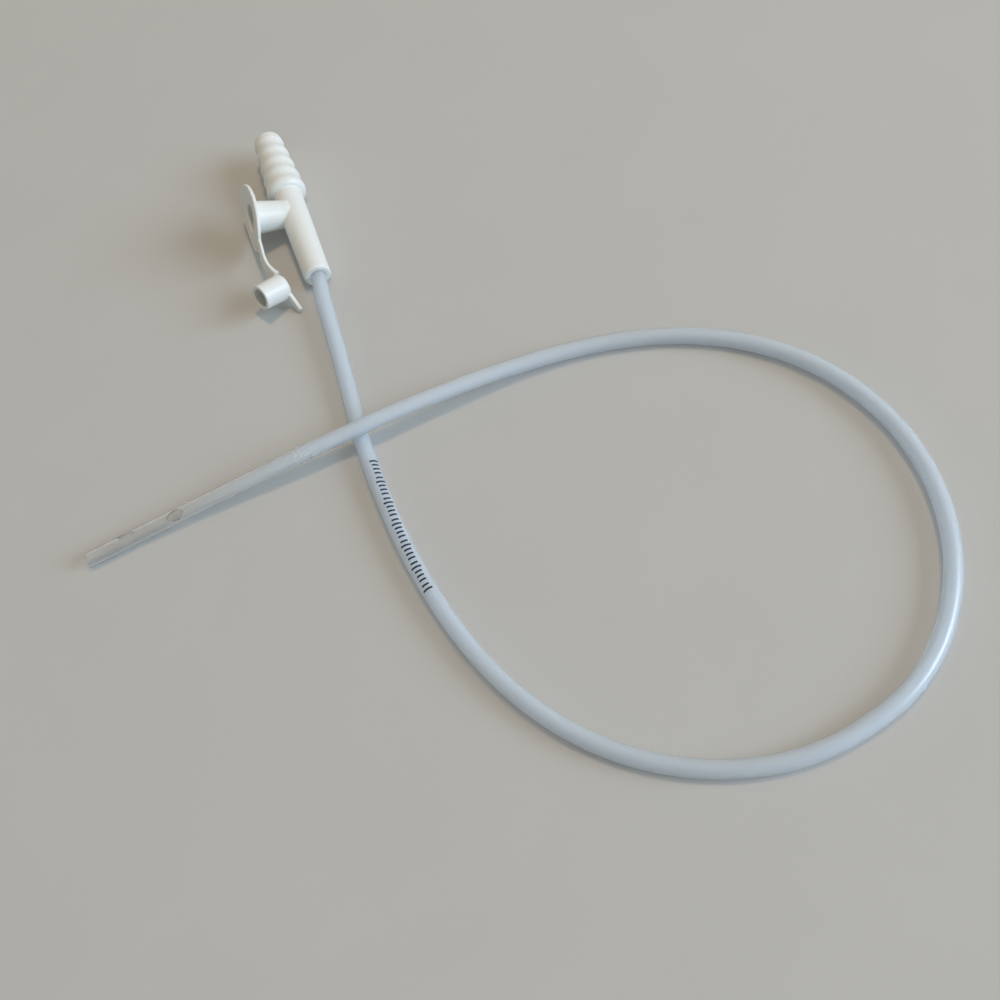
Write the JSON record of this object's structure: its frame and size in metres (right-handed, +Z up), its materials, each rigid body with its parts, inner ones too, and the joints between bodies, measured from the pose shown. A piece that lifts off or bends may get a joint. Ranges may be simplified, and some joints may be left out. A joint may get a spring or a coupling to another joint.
{
  "type": "suction catheter",
  "caption": "Soft clear suction tube with side eyes, lying in one open loop from a moulded connector with a barbed end, a thumb-controlled vent port and a tied cap.",
  "frame": {"origin": "on the surface that the catheter lies on, under the middle of the connector, cap and strap", "axes": "+Y from the socket towards the connector's barbed end, +Z up, the vent port points to -X and upwards"},
  "size_m": [0.1863, 0.2263, 0.0172],
  "materials": {
    "white_moulding": "satin injection moulding",
    "clear_tube": "milky translucent soft vinyl"
  },
  "bodies": {
    "catheter": {"connector": "white_moulding", "catheter_tube": "clear_tube"},
    "strap": {"cap_strap": "white_moulding"},
    "neck": {"strap_neck": "white_moulding"},
    "cap": {"vent_cap": "white_moulding"}
  },
  "joints": [
    {"name": "strap_bend", "type": "hinge", "parent": "catheter", "child": "strap", "pos_m": [-0.0055, -0.01041, 0.00961], "axis": [-0.4275, 0.175, -0.8869], "range_deg": [0, 128.4], "stiffness_Nm_per_rad": 0.0004},
    {"name": "neck_bend", "type": "hinge", "parent": "strap", "child": "neck", "pos_m": [-0.00567, -0.01824, 0.00734], "axis": [-0.4275, 0.175, -0.8869], "range_deg": [0, 75.42], "stiffness_Nm_per_rad": 0.0004},
    {"name": "cap_press", "type": "slide", "parent": "neck", "child": "cap", "axis": [-0.8346, -0.4275, 0.3474], "range_m": [0, 0.0067], "stiffness_N_per_m": 4}
  ],
  "couplings": [
    {"joint": "neck_bend", "follows": "strap_bend", "ratio": 0.5873}
  ]
}
